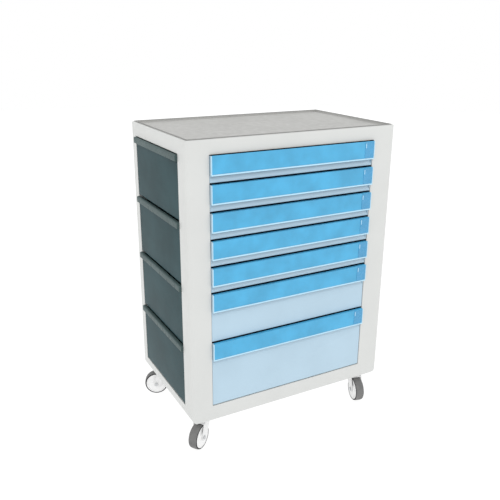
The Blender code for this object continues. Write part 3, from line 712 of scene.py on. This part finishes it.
def make_bin(number):
    """Smoked tilt-out bin: a rounded shell with a hooked lip and two hinge pins."""
    low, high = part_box(f"bin_{number}")
    front = low.y + PIN_LENGTH
    back = high.y - PIN_LENGTH
    face = low.x + BIN_LIP_REACH + BIN_SETBACK
    rim = high.z
    rear_rim = low.z + BIN_REAR_HEIGHT
    outer = [
        (face, low.z, BIN_TOE_RADIUS),
        (high.x, low.z, 5 * MM),
        (high.x, rear_rim, 2 * MM),
        (face, rim - 1 * MM, 0),
    ]
    shell = across(f"tilt_bin_{number}", filleted(outer), front, back)
    lip = [
        (face + 1 * MM, rim - BIN_LIP_HEIGHT, 0),
        (low.x, rim - BIN_LIP_HEIGHT, 1.0 * MM),
        (low.x, rim, 4 * MM),
        (face + BIN_WALL, rim, 1 * MM),
        (face + BIN_WALL, rim - BIN_LIP_HEIGHT, 0),
    ]
    join(shell, across("lip", filleted(lip), front, back))
    wall = BIN_WALL
    inner = [
        (face + wall, low.z + wall, BIN_TOE_RADIUS - wall),
        (high.x - wall, low.z + wall, 3 * MM),
        (high.x - wall, rim + 3 * OVERSHOOT, 0),
        (face + wall, rim + 3 * OVERSHOOT, 0),
    ]
    grip = [
        (low.x + BIN_LIP_WALL, rim - BIN_LIP_HEIGHT - OVERSHOOT, 0),
        (low.x + BIN_LIP_WALL, rim - BIN_LIP_WALL, 2 * MM),
        (face, rim - BIN_LIP_WALL, 1.5 * MM),
        (face, rim - BIN_LIP_HEIGHT - OVERSHOOT, 0),
    ]
    cut(
        shell,
        across("inside", filleted(inner), front + wall, back - wall),
        across("grip", filleted(grip), front + BIN_LIP_WALL, back - BIN_LIP_WALL),
    )
    x, _, z = next(joint["pos_m"] for joint in frame["joints"] if joint["name"] == f"bin_{number}_tilt")
    circle = rectangle(x - PIN_RADIUS, x + PIN_RADIUS, z - PIN_RADIUS, z + PIN_RADIUS, PIN_RADIUS * 0.999)
    spans = ((low.y, front + wall / 2), (back - wall / 2, high.y))
    join(shell, *(across("pin", circle, near, far) for near, far in spans))
    soften(shell, 0.7 * MM, 3)
    show(shell, f"bin_{number}_body", "smoked_plastic", SMOKED, f"bin_{number}")
    # The lip's faces take the lighter copy of the smoked plastic, painted light
    shell.data.materials.append(SMOKED_PAINTED_LIGHT_LIP)
    for polygon in shell.data.polygons:
        if polygon.center.x < face - 0.2 * MM:
            polygon.material_index = 1


def make_bins():
    for number in range(1, 5):
        make_bin(number)
    repaint("bin_bay", BAY, 0.4 * MM)


# Casters -----------------------------------------------------------------------------------------

# Each piece is drawn once round a kingpin at x = y = 0, with the wheel trailing towards +X.
WHEEL_PLACE = Matrix.Translation((TRAIL, 0, WHEEL_RADIUS))


def make_mount():
    """Round flange with four cap screws, a ball race ring and the kingpin."""
    high = BOTTOM - FIT_GAP
    profile = [
        (0, high),
        (26 * MM, high),
        (27 * MM, high - 1 * MM),
        (27 * MM, high - 3 * MM),
        (26 * MM, high - 4 * MM),
        (15 * MM, high - 4 * MM),
        (13 * MM, high - 6 * MM),
        (13 * MM, NECK_LOW + 0.4 * MM),
        (12.6 * MM, NECK_LOW),
        (KINGPIN_RADIUS, NECK_LOW),
        (KINGPIN_RADIUS, KINGPIN_LOW + 0.5 * MM),
        (KINGPIN_RADIUS - 0.5 * MM, KINGPIN_LOW),
        (0, KINGPIN_LOW),
    ]
    mount = turned("mount", profile)
    bolts = []
    for quarter in range(4):
        turn = Matrix.Rotation(math.radians(45 + 90 * quarter), 4, "Z")
        bolt = prism("bolt", hexagon(3.2 * MM), high - 5.4 * MM, high - 3 * MM)
        bolt.data.transform(turn @ Matrix.Translation((20 * MM, 0, 0)))
        bolts.append(bolt)
    join(mount, *bolts)
    return soften(mount, 0.3 * MM, 2)


def make_fork():
    """Pressed fork: crown, bridge and two tapering legs with rounded ends."""
    crown = [
        (0, CROWN_HIGH),
        (CROWN_RADIUS - 1.5 * MM, CROWN_HIGH),
        (CROWN_RADIUS, CROWN_HIGH - 1.5 * MM),
        (CROWN_RADIUS, CROWN_LOW + 2 * MM),
        (CROWN_RADIUS - 1 * MM, CROWN_LOW),
        (0, CROWN_LOW),
    ]
    fork = turned("fork", crown)
    bridge_low = (-16 * MM, -LEG_OUTSIDE, BRIDGE_LOW)
    bridge_high = (20 * MM, LEG_OUTSIDE, CROWN_LOW + 0.6 * MM)
    leg_high = CROWN_LOW - 0.5 * MM
    leg_low = WHEEL_RADIUS - 11.5 * MM
    leg = [
        (-15.5 * MM, leg_high, 0),
        (TRAIL - 12 * MM, leg_low, 11 * MM),
        (TRAIL + 12 * MM, leg_low, 11 * MM),
        (19.5 * MM, leg_high, 0),
    ]
    join(
        fork,
        block("bridge", bridge_low, bridge_high),
        across("leg", filleted(leg, 10), LEG_INSIDE, LEG_OUTSIDE + 0.1 * MM),
        across("leg", filleted(leg, 10), -LEG_OUTSIDE - 0.1 * MM, -LEG_INSIDE),
    )
    axle_hole = rod("axle_hole", AXLE_RADIUS + FIT_GAP, -30 * MM, 30 * MM, "Y")
    axle_hole.data.transform(WHEEL_PLACE)
    king_hole = rod("king_hole", KINGPIN_RADIUS + FIT_GAP, 70 * MM, 110 * MM)
    cut(fork, axle_hole, king_hole)
    return soften(fork, 0.9 * MM, 3)


def make_axle():
    """Axle bolt with a hexagon head at one end and a nut at the other."""
    head = LEG_OUTSIDE + 0.5 * MM
    axle = rod("axle", AXLE_RADIUS, -head - 1 * MM, head + 2 * MM, "Y")
    outline = hexagon(6.5 * MM)
    join(axle, across("nut", outline, head, head + 2.8 * MM), across("head", outline, -head - 3 * MM, -head))
    axle.data.transform(WHEEL_PLACE)
    return soften(axle, 0.3 * MM, 2)


def make_tyre():
    """Tyre whose tread curves in towards its edges."""
    edge = 15 * MM
    inner = HUB_RADIUS + FIT_GAP
    drop = 2.6 * MM
    places = (13, 11.5, 9, 6, 2, -2, -6, -9, -11.5, -13)
    tread = [(WHEEL_RADIUS - drop * (place * MM / edge) ** 4, place * MM) for place in places]
    profile = [
        (inner, edge - 1 * MM),
        (inner + 1.2 * MM, edge - 0.4 * MM),
        *tread,
        (inner + 1.2 * MM, 0.4 * MM - edge),
        (inner, 1 * MM - edge),
    ]
    tyre = turned("tyre", profile, closed=True, steps=72, axis="Y")
    tyre.data.transform(WHEEL_PLACE)
    return soften(tyre, 0.3 * MM, 2, 40)


def make_hub():
    """Moulded wheel centre: rim, dished web and boss, bored for the axle."""
    half = [
        (HUB_RADIUS, 13.5 * MM),
        (HUB_RADIUS - 0.5 * MM, 14 * MM),
        (32.5 * MM, 14 * MM),
        (31 * MM, 12.2 * MM),
        (14 * MM, 12.2 * MM),
        (12 * MM, 15.5 * MM),
        (AXLE_RADIUS + FIT_GAP, 15.5 * MM),
    ]
    profile = [(radius, -height) for radius, height in half] + half[::-1]
    hub = turned("hub", profile, closed=True, steps=72, axis="Y")
    hub.data.transform(WHEEL_PLACE)
    return soften(hub, 0.4 * MM, 2)


def make_casters():
    """Copies each pattern piece to every caster, turned the way that its wheel trails."""
    pivots = {joint["child"]: Vector(joint["pos_m"]) for joint in frame["joints"] if "pos_m" in joint}
    patterns = {
        "mount": (make_mount(), "zinc_plate", ZINC),
        "fork": (make_fork(), "fork_paint", FORK),
        "axle": (make_axle(), "zinc_plate", ZINC),
        "tyre": (make_tyre(), "tread_rubber", TREAD),
        "hub": (make_hub(), "hub_plastic", HUB),
    }
    bodies = {
        "mount": "cabinet",
        "fork": "{}_swivel",
        "axle": "{}_swivel",
        "tyre": "{}_wheel",
        "hub": "{}_wheel",
    }
    for corner in CORNERS:
        stem = pivots[f"{corner}_swivel"]
        centre = pivots[f"{corner}_wheel"]
        turn = math.atan2(centre.y - stem.y, centre.x - stem.x)
        place = Matrix.Translation((stem.x, stem.y, 0)) @ Matrix.Rotation(turn, 4, "Z")
        for part, (pattern, slot, material) in patterns.items():
            piece = new_object(f"{corner}_{part}", pattern.data.copy())
            for modifier in pattern.modifiers:
                soften(piece, modifier.width, modifier.segments, math.degrees(modifier.angle_limit))
            piece.data.transform(place)
            show(piece, bodies[part].format(corner), slot, material, f"{corner}_caster_{part}")
            if part == "tyre":
                piece.data.materials.append(TYRE_SIDE)
                axle = Vector((-math.sin(turn), math.cos(turn), 0))
                for face in piece.data.polygons:
                    face.material_index = int(abs((face.center - centre).dot(axle)) > 13.2 * MM)
    for pattern, _, _ in patterns.values():
        bpy.data.objects.remove(pattern)


# Camera, lights and floor ------------------------------------------------------------------------


def make_camera():
    data = bpy.data.cameras.new("camera")
    data.sensor_width = 36.0
    data.lens = CAMERA_LENS
    camera = new_object("camera", data)
    azimuth, elevation, roll = (math.radians(angle) for angle in CAMERA_ANGLES)
    level = math.cos(elevation)
    back = Vector((math.sin(azimuth) * level, -math.cos(azimuth) * level, math.sin(elevation)))
    right = (-back).cross(Vector((0, 0, 1))).normalized()
    up = right.cross(-back)
    tilted_right = right * math.cos(roll) + up * math.sin(roll)
    tilted_up = up * math.cos(roll) - right * math.sin(roll)
    turn = Matrix((tilted_right, tilted_up, back)).transposed().to_4x4()
    place = Vector((LEFT, FRONT, BOTTOM)) + CAMERA_OFFSET
    camera.matrix_world = Matrix.Translation(place) @ turn
    bpy.context.scene.camera = camera


def make_light(name, place, target, size, power):
    data = bpy.data.lights.new(name, "AREA")
    data.shape = "DISK"
    data.size = size
    data.energy = power
    light = new_object(name, data)
    light.location = place
    light.rotation_euler = (Vector(place) - Vector(target)).to_track_quat("Z", "Y").to_euler()


def make_stage():
    """White floor and surroundings, and two soft lights."""
    shape = bmesh.new()
    bmesh.ops.create_circle(shape, cap_ends=True, radius=9.0, segments=64)
    mesh = bpy.data.meshes.new("floor")
    shape.to_mesh(mesh)
    shape.free()
    floor = new_object("floor", mesh)
    material = bpy.data.materials.new("floor")
    material.use_nodes = True
    shader = material.node_tree.nodes["Principled BSDF"]
    shader.inputs["Base Color"].default_value = (0.16, 0.16, 0.16, 1.0)
    shader.inputs["Roughness"].default_value = 0.9
    shader.inputs["Emission Color"].default_value = (1.0, 1.0, 1.0, 1.0)
    shader.inputs["Emission Strength"].default_value = 0.90
    mesh.materials.append(material)
    world = bpy.data.worlds.new("studio")
    world.use_nodes = True
    background = world.node_tree.nodes["Background"]
    background.inputs["Color"].default_value = (1.0, 1.0, 1.0, 1.0)
    background.inputs["Strength"].default_value = 1.0
    bpy.context.scene.world = world
    bpy.context.scene.view_settings.view_transform = "Standard"
    make_light("key", (-1.6, -2.6, 2.6), (0, 0, 0.5), 2.2, 16)
    make_light("fill", (2.4, -2.2, 1.6), (0, 0, 0.5), 2.2, 6)


make_carcass()
make_worktop()
make_panels()
make_drawers()
make_bins()
make_casters()
make_camera()
make_stage()
